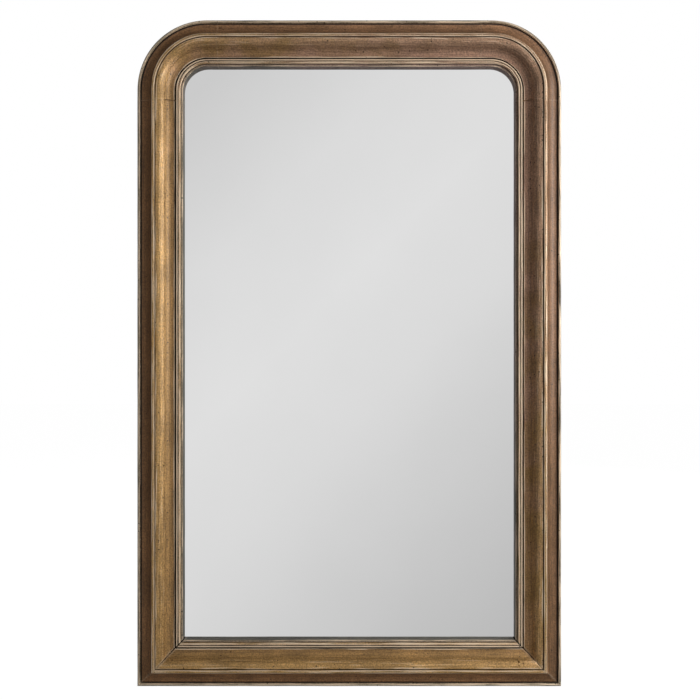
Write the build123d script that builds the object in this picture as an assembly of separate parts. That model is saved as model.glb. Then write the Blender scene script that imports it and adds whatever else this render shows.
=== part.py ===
from build123d import *
import math
import os

# Overmantel wall mirror, in millimetres. +Z is up, Y = 0 is the wall and -Y faces the room.
# The origin is on the wall, midway between the two hooks that carry the hanger rings.

# Frame: one moulding all round, round upper corners and mitred lower corners
frame_width = 700
frame_height = 1100
moulding_width = 74
corner_radius = 115  # outer radius of the upper corners
corner_stub = 17  # straight end of a corner block, beyond its bend
wall_gap = 6.5  # back of the frame to the wall, filled by the bumpers
hook_drop = 230  # top edge of the frame to the hooks

# Moulding heights, over the back of the frame
edge_height = 31
fillet_height = 44
sight_fillet_height = 28
lip_height = 22

# Moulding members, from the outer edge in; the ogee takes the width that is left
edge_bead_width = 5
quirk_width = 2
quirk_depth = 1
cove_width = 19
cove_step = 3.5
fillet_width = 5
ogee_quirk_width = 1.2
ogee_quirk_depth = 0.9
ogee_step = 2.5
ogee_run_out = 2
groove_width = 2.8
groove_depth = 3
sight_fillet_width = 2.4
sight_bead_width = 4.7
sight_bead_rise = 1.8
sight_bead_step = 3
lip_width = 3.4
lip_fall = 1.5
worn_edge_radius = 0.7

# Rebate behind the lip, and what fills it
rebate_width = 11
glass_thickness = 4
packing_thickness = 4
board_thickness = 5
panel_clearance = 2  # panel edge to the rebate wall, on every side
setting_block_length = 30
setting_block_inset = 120  # from the corner of the mirror plate to the middle of a block

# Glued joints of the frame
dowel_radius = 4
dowel_length = 40
dowel_chamfer = 0.8
dowel_height = 14
dowel_insets = (18, 46)  # from the outer edge
dowel_clearance = 0.1
dowel_end_clearance = 1
biscuit_length = 52
biscuit_width = 20
biscuit_thickness = 4
biscuit_inset = 31
biscuit_height = 18
biscuit_clearance = 0.2

# Screws
screw_shank_radius = 1.7
screw_head_radius = 3.4
screw_head_height = 2
screw_depth = 14
screw_recess_width = 0.9
screw_recess_length = 3.6
screw_recess_depth = 1.1
pilot_clearance = 0.03
pilot_end_clearance = 0.5

# Turn buttons that hold the backing board
button_length = 38
button_width = 13
button_thickness = 1.2
button_hole_inset = 8
button_screw_inset = 9  # screw to the rebate's edge
button_seat_clearance = 0.12
button_hole_clearance = 0.06
side_buttons = 3
end_buttons = 2
button_below_hook = 115
button_above_bottom = 230
end_button_spacing = 280

# Corner plates over the mitres
plate_arm = 60
plate_width = 15
plate_thickness = 1.5
plate_inset = 8
plate_corner_radius = 2
plate_screw_insets = (22, 52)  # from the plate's outer corner

# Hangers
hanger_inset = 28  # from the outer edge to the middle of the strap
strap_width = 16
strap_length = 40
strap_thickness = 1.2
strap_screw_insets = (13, 32)  # below the ring's pivot
strap_screw_radius = 5
knuckle_clearance = 0.05
knuckle_seat_clearance = 0.1
knuckle_web = 9
ring_wire_radius = 1.5
ring_half_width = 12.5
ring_corner_radius = 3.5
ring_leg = 9
ring_seat_clearance = 0.12

# Wall bumpers
bumper_radius = 8
bumper_inset = 40
bumper_edge_radius = 1

# Positions that follow from the sizes above
frame_top = hook_drop
frame_bottom = hook_drop - frame_height
frame_left = -frame_width / 2
frame_back = -wall_gap
rebate_depth = glass_thickness + packing_thickness + board_thickness
rebate_start = moulding_width - rebate_width
bend_x = frame_left + corner_radius
bend_z = frame_top - corner_radius
stile_top = bend_z - corner_stub
top_rail_end = bend_x + corner_stub
button_top = frame_back + button_seat_clearance + button_thickness
knuckle_bore = ring_wire_radius + knuckle_clearance
knuckle_radius = knuckle_bore + strap_thickness
ring_axis_y = frame_back + knuckle_seat_clearance + knuckle_radius
ring_reach = ring_leg + ring_half_width
ring_drop = ring_axis_y - frame_back - ring_wire_radius - ring_seat_clearance
ring_lean = math.degrees(math.asin(ring_drop / ring_reach))
ring_axis_z = -(ring_reach - ring_wire_radius) * math.cos(math.radians(ring_lean))
hanger_x = frame_left + hanger_inset
left_mitre = Plane(origin=(frame_left, 0, frame_bottom), z_dir=(-1, 0, 1))

front = Vector(0, -1, 0)
right = Vector(1, 0, 0)
up = Vector(0, 0, 1)


def moulding_profile():
    """The moulding's section: X runs in from the outer edge, Y from the back to the front."""
    bead_foot = edge_height - edge_bead_width / 2
    quirk_floor = bead_foot - quirk_depth
    cove_start = edge_bead_width + quirk_width
    fillet_start = cove_start + cove_width
    fillet_end = fillet_start + fillet_width
    ogee_top = fillet_height - ogee_step
    ogee_quirk_floor = ogee_top - ogee_quirk_depth
    ogee_start = fillet_end + ogee_quirk_width
    lip_start = moulding_width - lip_width
    sight_bead_start = lip_start - sight_bead_width
    sight_fillet_start = sight_bead_start - sight_fillet_width
    ogee_end = sight_fillet_start - groove_width
    ogee_foot = sight_fillet_height - ogee_run_out
    groove_floor = ogee_foot - groove_depth
    sight_bead_foot = sight_fillet_height - sight_bead_step
    ogee_middle = ((ogee_start + ogee_end) / 2, (ogee_top + ogee_foot) / 2)
    ogee_slope = 2 * math.atan2(ogee_top - ogee_foot, ogee_end - ogee_start)
    ogee_fall = (math.cos(ogee_slope), -math.sin(ogee_slope))

    edge = Polyline((rebate_start, 0), (0, 0), (0, bead_foot))
    edge_crown = (edge_bead_width / 2, edge_height)
    edge_bead = ThreePointArc((0, bead_foot), edge_crown, (edge_bead_width, bead_foot))
    quirk = Polyline(
        (edge_bead_width, bead_foot),
        (edge_bead_width, quirk_floor),
        (cove_start, quirk_floor),
    )
    cove_end = (fillet_start, fillet_height - cove_step)
    cove = TangentArc((cove_start, quirk_floor), cove_end, tangent=(1, 0))
    fillet_steps = Polyline(
        cove_end,
        (fillet_start, fillet_height),
        (fillet_end, fillet_height),
        (fillet_end, ogee_quirk_floor),
        (ogee_start, ogee_quirk_floor),
        (ogee_start, ogee_top),
    )
    ogee_crown = TangentArc((ogee_start, ogee_top), ogee_middle, tangent=(1, 0))
    ogee_hollow = TangentArc(ogee_middle, (ogee_end, ogee_foot), tangent=ogee_fall)
    sight_steps = Polyline(
        (ogee_end, ogee_foot),
        (ogee_end, groove_floor),
        (sight_fillet_start, groove_floor),
        (sight_fillet_start, sight_fillet_height),
        (sight_bead_start, sight_fillet_height),
        (sight_bead_start, sight_bead_foot),
    )
    sight_bead = ThreePointArc(
        (sight_bead_start, sight_bead_foot),
        ((sight_bead_start + lip_start) / 2, sight_bead_foot + sight_bead_rise),
        (lip_start, sight_bead_foot),
    )
    lip = Polyline(
        (lip_start, sight_bead_foot),
        (lip_start, lip_height + lip_fall),
        (moulding_width, lip_height),
        (moulding_width, rebate_depth),
        (rebate_start, rebate_depth),
        (rebate_start, 0),
    )
    members = [edge, edge_bead, quirk, cove, fillet_steps, ogee_crown, ogee_hollow]
    members += [sight_steps, sight_bead, lip]
    section = make_face([side for member in members for side in member.edges()])
    worn = [
        corner
        for corner in section.vertices()
        if math.isclose(corner.Y, fillet_height) or math.isclose(corner.Y, sight_fillet_height)
    ]
    worn_radius = min(worn_edge_radius, fillet_width / 3, sight_fillet_width / 3)
    return fillet(worn, worn_radius)


def straight_run(start, inward, length):
    """A length of moulding from a point of its outer back edge; inward points at the glass."""
    section = Plane(origin=start, x_dir=inward, z_dir=inward.cross(front)) * moulding_profile()
    return extrude(section, amount=length)


def from_behind(x, z, height=0):
    """A place on the back of the frame whose local Z points at the wall."""
    return Plane(origin=(x, frame_back + height, z), x_dir=(1, 0, 0), z_dir=(0, 1, 0)).location


def mirrored(piece):
    """The same piece on the right side."""
    return mirror(piece, about=Plane.YZ)


def both_sides(pieces):
    """Left pieces and their right counterparts."""
    return pieces + [mirrored(piece) for piece in pieces]


def dowel_places():
    """Middles of the dowels of the left side's two joints."""
    places = []
    for inset in dowel_insets:
        depth = frame_back - dowel_height
        places.append(Location((frame_left + inset, depth, stile_top)))
        places.append(Location((top_rail_end, depth, frame_top - inset), (0, 90, 0)))
    return places


def dowels():
    pin = Cylinder(dowel_radius, dowel_length)
    pin = chamfer(pin.edges().filter_by(GeomType.CIRCLE), dowel_chamfer)
    return both_sides([place * pin for place in dowel_places()])


def dowel_holes():
    radius = dowel_radius + dowel_clearance
    hole = Cylinder(radius, dowel_length + 2 * dowel_end_clearance)
    return both_sides([place * hole for place in dowel_places()])


def left_biscuit(clearance):
    """The key of the left mitre, or its slot when it is given a clearance."""
    plane = Plane(
        origin=(frame_left + biscuit_inset, frame_back - biscuit_height, frame_bottom + biscuit_inset),
        x_dir=(1, 0, 1),
        z_dir=(0, -1, 0),
    )
    outline = SlotOverall(biscuit_length + 2 * clearance, biscuit_width + 2 * clearance)
    return extrude(plane * outline, amount=biscuit_thickness / 2 + clearance, both=True)


def screw():
    """A round-head wood screw, its seat at the origin and its head towards +Z."""
    shank = Cylinder(screw_shank_radius, screw_depth, align=(Align.CENTER, Align.CENTER, Align.MAX))
    dome_radius = (screw_head_radius**2 + screw_head_height**2) / (2 * screw_head_height)
    dome = Pos(0, 0, screw_head_height - dome_radius) * Sphere(dome_radius)
    head = dome & Cylinder(
        screw_head_radius,
        screw_head_height,
        align=(Align.CENTER, Align.CENTER, Align.MIN),
    )
    slot = Box(screw_recess_length, screw_recess_width, 2 * screw_recess_depth)
    recess = Pos(0, 0, screw_head_height) * (slot + Rot(0, 0, 90) * slot)
    return head - recess + shank


def screws(places, seat):
    """Screws at these places of the back, with their heads seated that far over it."""
    pattern = screw()
    return [from_behind(x, z, seat) * pattern for x, z in places]


def pilots(places, seat):
    """The holes in the frame for screws whose heads are seated that far over its back."""
    depth = screw_depth - seat + pilot_end_clearance
    hole = Cylinder(
        screw_shank_radius + pilot_clearance,
        depth,
        align=(Align.CENTER, Align.CENTER, Align.MAX),
    )
    return [from_behind(x, z) * hole for x, z in places]


def side_button_places():
    """Screws of the left stile's turn buttons, from the bottom up."""
    low = frame_bottom + button_above_bottom
    high = -button_below_hook
    step = (high - low) / (side_buttons - 1)
    x = frame_left + rebate_start - button_screw_inset
    return [(x, low + number * step) for number in range(side_buttons)]


def end_button_places(z):
    """Screws of the turn buttons of the top or bottom rail, from the left."""
    first = -end_button_spacing * (end_buttons - 1) / 2
    return [(first + number * end_button_spacing, z) for number in range(end_buttons)]


def button_places():
    """Each turn button's name, screw place and the turn that points it at the board."""
    inset = rebate_start - button_screw_inset
    rows = {
        "left": (side_button_places(), 0),
        "right": ([(-x, z) for x, z in side_button_places()], 180),
        "bottom": (end_button_places(frame_bottom + inset), -90),
        "top": (end_button_places(frame_top - inset), 90),
    }
    return {
        f"{side}_turn_button_{number}": (place, turn)
        for side, (places, turn) in rows.items()
        for number, place in enumerate(places, 1)
    }


def turn_button(place, turn):
    """A flat oblong plate that swivels on its screw."""
    oblong = Pos(button_length / 2 - button_hole_inset, 0) * SlotOverall(button_length, button_width)
    outline = oblong - Circle(screw_shank_radius + button_hole_clearance)
    plate = extrude(outline, amount=button_thickness)
    return from_behind(*place, button_seat_clearance) * Rot(0, 0, turn) * plate


def corner_plate_places():
    """Screws of the left corner plate."""
    middle = plate_inset + plate_width / 2
    low = [(frame_left + plate_inset + reach, frame_bottom + middle) for reach in plate_screw_insets]
    side = [(frame_left + middle, frame_bottom + plate_inset + reach) for reach in plate_screw_insets]
    return low + side


def left_corner_plate():
    """A flat steel angle over the lower left mitre."""
    corner = (frame_left + plate_inset, frame_bottom + plate_inset)
    flat = Rectangle(plate_arm, plate_width, align=Align.MIN)
    post = Rectangle(plate_width, plate_arm, align=Align.MIN)
    angle = flat + post
    angle = fillet(angle.vertices(), min(plate_corner_radius, plate_width / 3))
    sheet = Plane(origin=(corner[0], frame_back, corner[1]), x_dir=(1, 0, 0), z_dir=(0, -1, 0))
    plate = extrude(sheet * angle, amount=-plate_thickness)
    hole = Cylinder(screw_shank_radius + pilot_clearance, 4 * plate_thickness)
    return plate - [from_behind(x, z) * hole for x, z in corner_plate_places()]


def strap_places():
    """Screws of the left hanger strap."""
    return [(hanger_x, ring_axis_z - inset) for inset in strap_screw_insets]


def left_hanger_strap():
    """A strap on the back of the stile, rolled at its upper end into the ring's knuckle."""
    side = Plane(
        origin=(hanger_x - strap_width / 2, ring_axis_y, ring_axis_z),
        x_dir=(0, 0, -1),
        z_dir=(1, 0, 0),
    )
    seat = frame_back - ring_axis_y
    tongue = Pos(strap_length / 2, seat + strap_thickness / 2) * Rectangle(strap_length, strap_thickness)
    web_top = knuckle_radius * 0.98
    web = make_face(
        Polyline((0, seat), (0, web_top), (knuckle_web, seat + strap_thickness), (knuckle_web, seat), close=True)
    )
    section = tongue + web + Circle(knuckle_radius) - Circle(knuckle_bore)
    strap = extrude(side * section, amount=strap_width)
    foot_radius = min(strap_screw_radius, strap_width / 3)
    foot = strap.edges().filter_by(Axis.Y).group_by(Axis.Z)[0]
    strap = fillet(foot, foot_radius)
    hole = Cylinder(screw_shank_radius + pilot_clearance, 4 * strap_thickness)
    return strap - [from_behind(x, z) * hole for x, z in strap_places()]


def left_hanger_ring():
    """A D-shaped wire ring whose straight side turns in the knuckle."""
    near = ring_half_width - ring_corner_radius
    wide = ring_half_width
    low = ring_corner_radius
    bar = Line((-near, 0), (near, 0))
    right_corner = TangentArc((near, 0), (wide, low), tangent=(1, 0))
    right_leg = Line((wide, low), (wide, ring_leg))
    bow = ThreePointArc((wide, ring_leg), (0, ring_reach), (-wide, ring_leg))
    left_leg = Line((-wide, ring_leg), (-wide, low))
    left_corner = TangentArc((-wide, low), (-near, 0), tangent=(0, -1))
    path = Wire([bar, right_corner, right_leg, bow, left_leg, left_corner])
    wire = sweep(Plane.YZ * Circle(ring_wire_radius), path=path)
    upright = Location((hanger_x, ring_axis_y, ring_axis_z)) * Rot(90 + ring_lean, 0, 0)
    return upright * wire


def bumpers():
    """Round pads behind the corners that touch the wall."""
    pad = Cylinder(bumper_radius, wall_gap, align=(Align.CENTER, Align.CENTER, Align.MIN))
    rim = pad.edges().filter_by(GeomType.CIRCLE).group_by(Axis.Z)[-1]
    pad = fillet(rim, min(bumper_edge_radius, wall_gap / 3))
    diagonal = (corner_radius - bumper_inset) / math.sqrt(2)
    lower = from_behind(frame_left + bumper_inset, frame_bottom + bumper_inset)
    upper = from_behind(bend_x - diagonal, bend_z + diagonal)
    return both_sides([lower * pad, upper * pad])


def panel(back_height, thickness):
    """A sheet that fills the rebate, from that height over the frame's back."""
    inset = rebate_start + panel_clearance
    width = frame_width - 2 * inset
    height = frame_height - 2 * inset
    plane = Plane(
        origin=(0, frame_back - back_height, frame_top - frame_height / 2),
        x_dir=(1, 0, 0),
        z_dir=(0, -1, 0),
    )
    outline = Rectangle(width, height)
    upper = outline.vertices().group_by(Axis.Y)[-1]
    outline = fillet(upper, corner_radius - inset)
    return extrude(plane * outline, amount=thickness)


def setting_blocks():
    """Small blocks between the edge of the mirror plate and the rebate's wall."""
    middle = rebate_start + panel_clearance / 2
    from_corner = rebate_start + panel_clearance + setting_block_inset
    depth = frame_back - rebate_depth + glass_thickness / 2
    low_x = frame_left + from_corner
    flat = Box(setting_block_length, glass_thickness, panel_clearance)
    post = Box(panel_clearance, glass_thickness, setting_block_length)
    places = [
        Pos(low_x, depth, frame_bottom + middle) * flat,
        Pos(low_x, depth, frame_top - middle) * flat,
        Pos(frame_left + middle, depth, frame_bottom + from_corner) * post,
        Pos(frame_left + middle, depth, frame_top - from_corner) * post,
    ]
    return both_sides(places)


def frame_pieces():
    """The four straight lengths and the two corner blocks, before their holes."""
    left_x = frame_left
    stile = straight_run(Vector(left_x, frame_back, stile_top), right, stile_top - frame_bottom)
    stile = split(stile, bisect_by=left_mitre, keep=Keep.TOP)
    bottom = straight_run(Vector(left_x, frame_back, frame_bottom), up, frame_width)
    bottom = split(bottom, bisect_by=left_mitre, keep=Keep.BOTTOM)
    bottom = mirrored(split(mirrored(bottom), bisect_by=left_mitre, keep=Keep.BOTTOM))
    top_start = Vector(-top_rail_end, frame_back, frame_top)
    top = straight_run(top_start, -up, -2 * top_rail_end)
    lower_stub = straight_run(Vector(left_x, frame_back, bend_z), right, corner_stub)
    upper_stub = straight_run(Vector(top_rail_end, frame_back, frame_top), -up, corner_stub)
    section = Plane(origin=(left_x, frame_back, bend_z), x_dir=(1, 0, 0), z_dir=(0, 0, -1))
    bend_axis = Axis((bend_x, 0, bend_z), (0, 1, 0))
    bend = revolve(section * moulding_profile(), axis=bend_axis, revolution_arc=90)
    corner = lower_stub + bend + upper_stub
    return {
        "bottom_rail": bottom,
        "left_stile": stile,
        "right_stile": mirrored(stile),
        "top_rail": top,
        "left_corner_block": corner,
        "right_corner_block": mirrored(corner),
    }


def frame_holes(button_screws, plate_screws, strap_screws):
    """Everything that is bored or slotted into the frame."""
    slots = both_sides([left_biscuit(biscuit_clearance)])
    button_seat = button_top - frame_back + button_seat_clearance
    holes = pilots(button_screws, button_seat)
    holes += pilots(plate_screws, plate_thickness)
    holes += pilots(strap_screws, strap_thickness)
    return dowel_holes() + slots + holes


def on_both_sides(places):
    return places + [(-x, z) for x, z in places]


def mirror_parts():
    """Every piece of the mirror, by name."""
    buttons = button_places()
    button_screws = [place for place, turn in buttons.values()]
    plate_screws = on_both_sides(corner_plate_places())
    strap_screws = on_both_sides(strap_places())
    holes = frame_holes(button_screws, plate_screws, strap_screws)
    parts = {name: piece - holes for name, piece in frame_pieces().items()}
    parts["corner_dowels"] = Compound(dowels())
    parts["mitre_biscuits"] = Compound(both_sides([left_biscuit(0)]))
    parts["mirror_plate"] = panel(rebate_depth - glass_thickness, glass_thickness)
    parts["setting_blocks"] = Compound(setting_blocks())
    parts["packing_sheet"] = panel(board_thickness, packing_thickness)
    parts["backing_board"] = panel(0, board_thickness)
    for name, (place, turn) in buttons.items():
        parts[name] = turn_button(place, turn)
    button_seat = button_top - frame_back + button_seat_clearance
    parts["turn_button_screws"] = Compound(screws(button_screws, button_seat))
    parts["left_corner_plate"] = left_corner_plate()
    parts["right_corner_plate"] = mirrored(left_corner_plate())
    parts["corner_plate_screws"] = Compound(screws(plate_screws, plate_thickness))
    parts["left_hanger_strap"] = left_hanger_strap()
    parts["right_hanger_strap"] = mirrored(left_hanger_strap())
    parts["hanger_screws"] = Compound(screws(strap_screws, strap_thickness))
    parts["left_hanger_ring"] = left_hanger_ring()
    parts["right_hanger_ring"] = mirrored(left_hanger_ring())
    parts["wall_bumpers"] = Compound(bumpers())
    return parts


os.makedirs("parts", exist_ok=True)
for name, piece in mirror_parts().items():
    export_step(piece, f"parts/{name}.step")
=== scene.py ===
"""Overmantel mirror: bronze-gilded moulding, mirror plate, board, joinery, steel fittings and a studio."""

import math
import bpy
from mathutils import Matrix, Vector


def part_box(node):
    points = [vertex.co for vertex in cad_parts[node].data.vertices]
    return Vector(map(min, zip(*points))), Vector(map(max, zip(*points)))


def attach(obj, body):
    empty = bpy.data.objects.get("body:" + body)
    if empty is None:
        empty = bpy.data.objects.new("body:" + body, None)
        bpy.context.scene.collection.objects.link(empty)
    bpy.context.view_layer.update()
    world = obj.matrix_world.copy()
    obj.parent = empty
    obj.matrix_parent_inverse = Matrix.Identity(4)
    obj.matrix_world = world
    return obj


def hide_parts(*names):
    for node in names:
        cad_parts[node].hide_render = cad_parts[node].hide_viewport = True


bl_info = {
    "name": "Overmantel Mirror",
    "version": (1, 0, 0),
    "blender": (4, 5, 0),
    "location": "3D View > Sidebar > Mirror",
    "description": "A wall mirror in a gilded moulding, with its back fittings and a studio",
    "category": "Add Mesh",
}

from functools import cache

import bmesh
import bpy
from bpy.props import FloatProperty, FloatVectorProperty, PointerProperty
from mathutils import Matrix, Vector

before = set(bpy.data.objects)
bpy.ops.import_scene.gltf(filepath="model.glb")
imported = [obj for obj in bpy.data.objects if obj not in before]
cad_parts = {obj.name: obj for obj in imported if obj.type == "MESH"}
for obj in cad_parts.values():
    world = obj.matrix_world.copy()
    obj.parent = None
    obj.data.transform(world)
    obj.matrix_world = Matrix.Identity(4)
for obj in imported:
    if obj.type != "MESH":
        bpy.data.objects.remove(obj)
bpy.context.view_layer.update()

PHOTO_PIXELS = 700
SENSOR_WIDTH = 36
FLOOR_SIZE = 8
FLOOR_IN_FRONT = 0.15
FLOOR_DROP = 0.0005  # floor below the frame, so that no two faces share a plane

# Places taken from the frame, in metres; the front faces -Y
RAIL_LOW, RAIL_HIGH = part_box("bottom_rail")
STILE_LOW, STILE_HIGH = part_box("left_stile")
FRAME_LEFT = RAIL_LOW.x
FRAME_RIGHT = RAIL_HIGH.x
FRAME_BOTTOM = RAIL_LOW.z
FRAME_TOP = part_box("left_corner_block")[1].z
FRAME_BACK = RAIL_HIGH.y
FRAME_FRONT = RAIL_LOW.y
FRAME_MIDDLE = (FRAME_BOTTOM + FRAME_TOP) / 2
MOULDING_WIDTH = STILE_HIGH.x - STILE_LOW.x
STILE_TOP = STILE_HIGH.z
TOP_RAIL_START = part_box("top_rail")[0].x
REBATE_DEPTH = FRAME_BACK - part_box("mirror_plate")[0].y
PANEL_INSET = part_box("backing_board")[0].x - FRAME_LEFT

RIGHT, LEFT, UP, DOWN = Vector((1, 0, 0)), Vector((-1, 0, 0)), Vector((0, 0, 1)), Vector((0, 0, -1))
FORWARD = Vector((0, -1, 0))


def length(name, description, default):
    """A size property, in metres."""
    return FloatProperty(name=name, description=description, default=default, unit="LENGTH", precision=5)


def colour(name, description, default):
    """A colour property, linear red, green and blue."""
    return FloatVectorProperty(name=name, description=description, default=default, subtype="COLOR", size=3)


def share(name, description, default):
    """A plain number from 0 to 1."""
    return FloatProperty(name=name, description=description, default=default, min=0, max=1, subtype="FACTOR")


def power(name, description, default):
    """A light's power, in watts."""
    return FloatProperty(name=name, description=description, default=default, unit="POWER")


class MirrorMoulding(bpy.types.PropertyGroup):
    corner_radius: length("Corner Radius", "Outer radius of the round upper corners", 0.115)
    panel_clearance: length("Panel Clearance", "Panel edge to the rebate's wall", 0.002)
    edge_height: length("Edge Height", "Crown of the outer bead over the back", 0.031)
    fillet_height: length("Fillet Height", "Top of the outer fillet over the back", 0.044)
    sight_fillet_height: length("Sight Fillet Height", "Top of the inner fillet over the back", 0.028)
    lip_height: length("Lip Height", "Sight edge over the back", 0.022)
    edge_bead_width: length("Edge Bead Width", "Bead along the outer edge", 0.005)
    quirk_width: length("Quirk Width", "Sunk line beside the outer bead", 0.002)
    quirk_depth: length("Quirk Depth", "Foot of the bead to the sunk line's floor", 0.001)
    cove_width: length("Cove Width", "Hollow between the sunk line and the fillet", 0.019)
    cove_step: length("Cove Step", "Fillet's top over the end of the cove", 0.0035)
    fillet_width: length("Fillet Width", "Flat top of the outer fillet", 0.005)
    ogee_quirk_width: length("Ogee Quirk Width", "Sunk line beside the ogee", 0.0012)
    ogee_quirk_depth: length("Ogee Quirk Depth", "Depth of that sunk line", 0.0009)
    ogee_step: length("Ogee Step", "Fillet's top over the start of the ogee", 0.0025)
    ogee_run_out: length("Ogee Run-out", "Inner fillet's top over the foot of the ogee", 0.002)
    groove_width: length("Groove Width", "Deep line between the ogee and the inner fillet", 0.0028)
    groove_depth: length("Groove Depth", "Foot of the ogee to the floor of that line", 0.003)
    sight_fillet_width: length("Sight Fillet Width", "Flat top of the inner fillet", 0.0024)
    sight_bead_width: length("Sight Bead Width", "Bead beside the sight edge", 0.0047)
    sight_bead_rise: length("Sight Bead Rise", "Crown of that bead over its foot", 0.0018)
    sight_bead_step: length("Sight Bead Step", "Inner fillet's top over the bead's foot", 0.003)
    lip_width: length("Lip Width", "Flat between the bead and the sight edge", 0.0034)
    lip_fall: length("Lip Fall", "Fall of that flat towards the glass", 0.0015)
    arris_radius: length("Arris Radius", "Rubbed roundness of the small arrises", 0.0004)
    fillet_arris_radius: length("Fillet Arris Radius", "Rubbed roundness of both fillets", 0.0011)
    run_step: length("Run Step", "Spacing of the rows of faces along the moulding", 0.008)
    wave_height: length("Wave Height", "Unevenness of the hand-laid ground", 0.0005)
    wave_length: length("Wave Length", "Spacing of that unevenness", 0.06)
    mitre_gap: length("Mitre Gap", "Opening of the lower mitres at the sight edge", 0.0012)
    joint_gap: length("Joint Gap", "Opening of the joints of the corner blocks", 0.00003)
    worm_hole_radius: length("Worm Hole Radius", "Radius of the larger worm holes", 0.0012)


class MirrorStudio(bpy.types.PropertyGroup):
    camera_distance: length("Camera Distance", "Camera to the moulding's outer edge", 1.5)
    photo_width: FloatProperty(
        name="Frame Width in the Photo",
        description="Width of the frame in the photograph, in pixels",
        default=423.5,
        subtype="PIXEL",
    )
    photo_centre: FloatVectorProperty(
        name="Frame Centre in the Photo",
        description="Centre of the frame in the photograph, in pixels",
        default=(349.25, 353.2),
        size=2,
        subtype="XYZ",
    )
    window_power: power("Window Power", "Soft light at the right", 29)
    fill_power: power("Fill Power", "Weak light at the camera", 4)
    back_power: power("Back Power", "Soft light on the back", 45)
    ambient: share("Ambient", "Light from all round", 0.06)


def moulding_sizes():
    """The moulding's sizes, as they stand in the scene."""
    return bpy.context.scene.mirror_moulding


# Small tools for modelling


def deselect():
    """Leaves nothing selected, so that an operator acts on the new piece alone."""
    bpy.ops.object.select_all(action="DESELECT")


def pick(piece):
    """Makes one piece the only selected and active one."""
    deselect()
    piece.select_set(True)
    bpy.context.view_layer.objects.active = piece


def edit(piece):
    """Opens one piece in edit mode and returns its mesh there."""
    pick(piece)
    bpy.ops.object.mode_set(mode="EDIT")
    return bmesh.from_edit_mesh(piece.data)


def close_edit(piece):
    bmesh.update_edit_mesh(piece.data)
    bpy.ops.object.mode_set(mode="OBJECT")


def select_faces(piece, test):
    """Selects the faces of a piece in edit mode that pass a test."""
    bpy.ops.mesh.select_mode(type="FACE")
    bpy.ops.mesh.select_all(action="DESELECT")
    mesh = bmesh.from_edit_mesh(piece.data)
    for face in mesh.faces:
        face.select_set(test(face))
    bmesh.update_edit_mesh(piece.data)


def apply_modifier(piece, kind, **values):
    """Adds a modifier to a piece with these values and applies it."""
    pick(piece)
    bpy.ops.object.modifier_add(type=kind)
    modifier = piece.modifiers[-1]
    for name, value in values.items():
        setattr(modifier, name, value)
    bpy.ops.object.modifier_apply(modifier=modifier.name)


# The moulding's section: the distance in from the outer edge, and the height over the back


def arc(start, end, direction, steps):
    """Points after start, on the arc that leaves it in this direction and stops at end."""
    chord = end - start
    turn = math.atan2(direction.x * chord.y - direction.y * chord.x, direction.dot(chord))
    diameter = chord.length / math.sin(abs(turn))
    points = []
    for number in range(1, steps + 1):
        swing = turn * number / steps
        heading = Matrix.Rotation(swing, 2) @ direction.normalized()
        points.append(start + heading * diameter * math.sin(abs(swing)))
    return points


def section_members(size):
    """The section as named members in order, each a point, or an arc's (end, direction, steps)."""
    bead_foot = size.edge_height - size.edge_bead_width / 2
    quirk_floor = bead_foot - size.quirk_depth
    cove_start = size.edge_bead_width + size.quirk_width
    fillet_start = cove_start + size.cove_width
    fillet_end = fillet_start + size.fillet_width
    ogee_start = fillet_end + size.ogee_quirk_width
    ogee_top = size.fillet_height - size.ogee_step
    lip_start = MOULDING_WIDTH - size.lip_width
    bead_start = lip_start - size.sight_bead_width
    sight_fillet_start = bead_start - size.sight_fillet_width
    ogee_end = sight_fillet_start - size.groove_width
    ogee_foot = size.sight_fillet_height - size.ogee_run_out
    sight_bead_foot = size.sight_fillet_height - size.sight_bead_step
    ogee_slope = 2 * math.atan2(ogee_top - ogee_foot, ogee_end - ogee_start)
    bead_slope = 2 * math.atan2(2 * size.sight_bead_rise, size.sight_bead_width)
    rebate_start = PANEL_INSET - size.panel_clearance
    ogee_fall = (math.cos(ogee_slope), -math.sin(ogee_slope))
    bead_rise = (math.cos(bead_slope), math.sin(bead_slope))
    level = (1, 0)
    steps = 12
    bead_steps = 10
    return [
        ("back", (0, 0)),
        ("side", (0, bead_foot)),
        ("edge_bead", ((size.edge_bead_width, bead_foot), (0, 1), steps)),
        ("edge_bead_wall", (size.edge_bead_width, quirk_floor)),
        ("quirk", (cove_start, quirk_floor)),
        ("cove", ((fillet_start, size.fillet_height - size.cove_step), level, steps)),
        ("fillet_wall", (fillet_start, size.fillet_height)),
        ("fillet", (fillet_end, size.fillet_height)),
        ("fillet_inner_wall", (fillet_end, ogee_top - size.ogee_quirk_depth)),
        ("ogee_quirk", (ogee_start, ogee_top - size.ogee_quirk_depth)),
        ("ogee_quirk_wall", (ogee_start, ogee_top)),
        ("ogee_crown", (((ogee_start + ogee_end) / 2, (ogee_top + ogee_foot) / 2), level, steps)),
        ("ogee_hollow", ((ogee_end, ogee_foot), ogee_fall, steps)),
        ("groove_outer_wall", (ogee_end, ogee_foot - size.groove_depth)),
        ("groove", (sight_fillet_start, ogee_foot - size.groove_depth)),
        ("groove_wall", (sight_fillet_start, size.sight_fillet_height)),
        ("sight_fillet", (bead_start, size.sight_fillet_height)),
        ("sight_fillet_wall", (bead_start, sight_bead_foot)),
        ("sight_bead", ((lip_start, sight_bead_foot), bead_rise, bead_steps)),
        ("sight_bead_wall", (lip_start, size.lip_height + size.lip_fall)),
        ("lip", (MOULDING_WIDTH, size.lip_height)),
        ("sight_wall", (MOULDING_WIDTH, REBATE_DEPTH)),
        ("rebate_floor", (rebate_start, REBATE_DEPTH)),
        ("rebate_wall", (rebate_start, 0)),
    ]


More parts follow.
